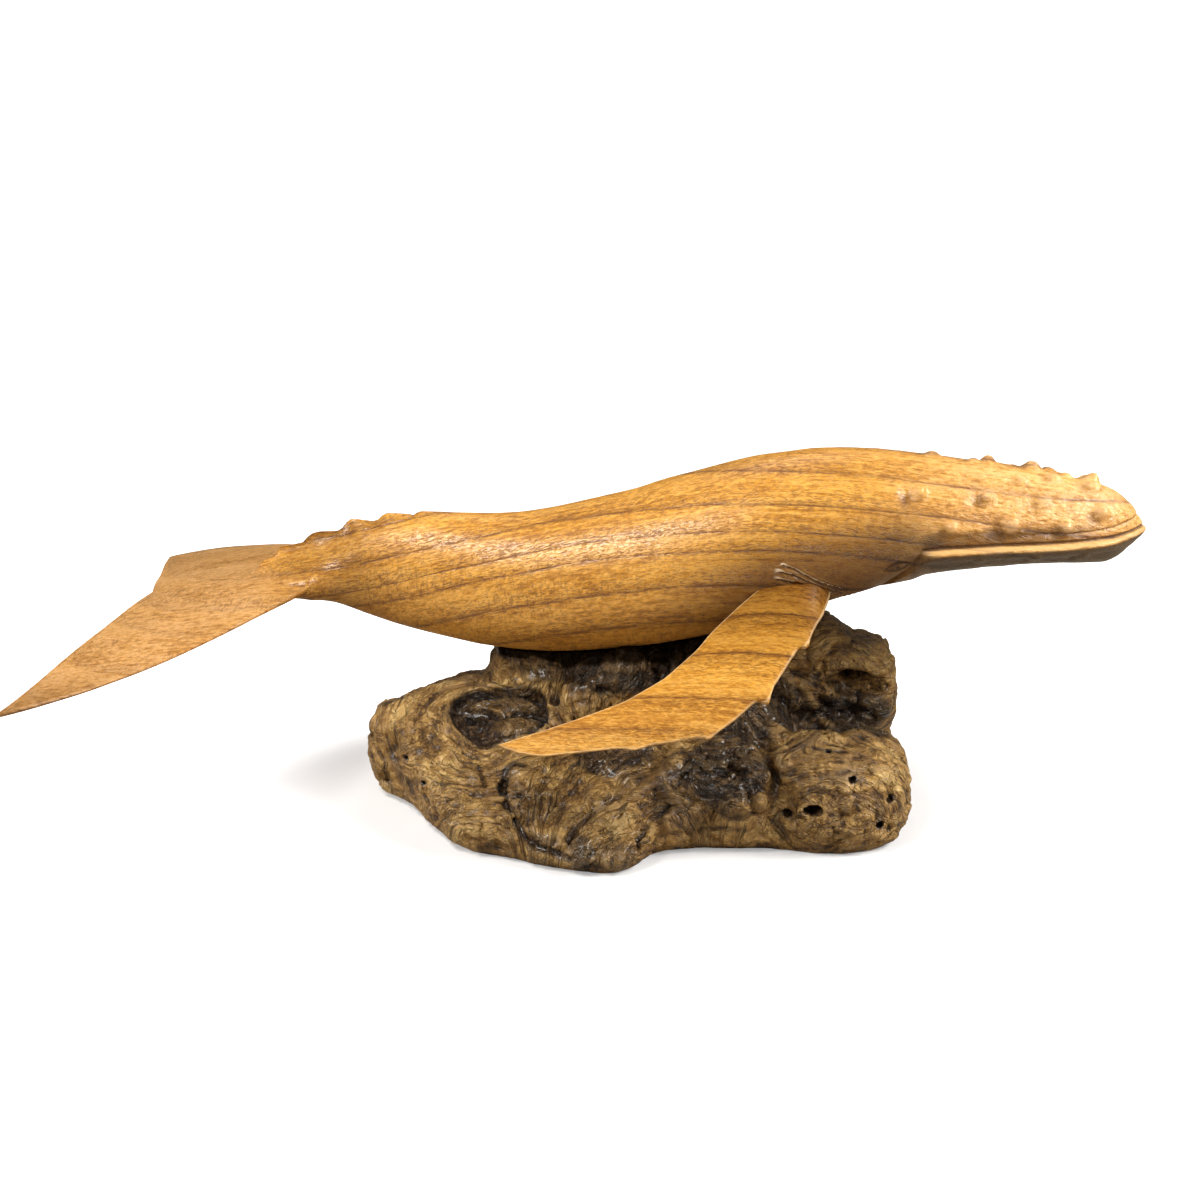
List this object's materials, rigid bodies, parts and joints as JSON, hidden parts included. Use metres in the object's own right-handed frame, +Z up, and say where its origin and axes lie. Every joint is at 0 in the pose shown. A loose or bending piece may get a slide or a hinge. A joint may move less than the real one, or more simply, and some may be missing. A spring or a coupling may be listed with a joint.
{
  "type": "whale figurine",
  "caption": "Carved wooden humpback whale with pegged pectoral fins; it sits on steel pins set in a natural root stand and lifts straight off for packing.",
  "frame": {"origin": "on the flat sawn underside of the root stand, under the whale's belly", "axes": "+Z up, +X towards the snout, +Y towards the whale's left"},
  "size_m": [0.3944, 0.181, 0.1355],
  "materials": {
    "whale_wood": "satin oiled carved hardwood with dark growth rings",
    "fin_wood": "satin oiled hardwood, same timber as the body",
    "root_wood": "gloss varnished gnarled root, tan ridges and near black hollows",
    "bamboo": "split bamboo, unfinished",
    "pin_steel": "bright drawn rod"
  },
  "bodies": {
    "stand": {"root_base": "root_wood", "front_support_pin": "pin_steel", "rear_support_pin": "pin_steel"},
    "whale": {"whale_body": "whale_wood", "right_pectoral_fin": "fin_wood", "left_pectoral_fin": "fin_wood", "right_fin_peg_front": "bamboo", "right_fin_peg_rear": "bamboo", "left_fin_peg_front": "bamboo", "left_fin_peg_rear": "bamboo"}
  },
  "joints": [
    {"name": "lift_off", "type": "slide", "parent": "stand", "child": "whale", "axis": [0, 0, 1], "range_m": [0, 0.022]}
  ]
}
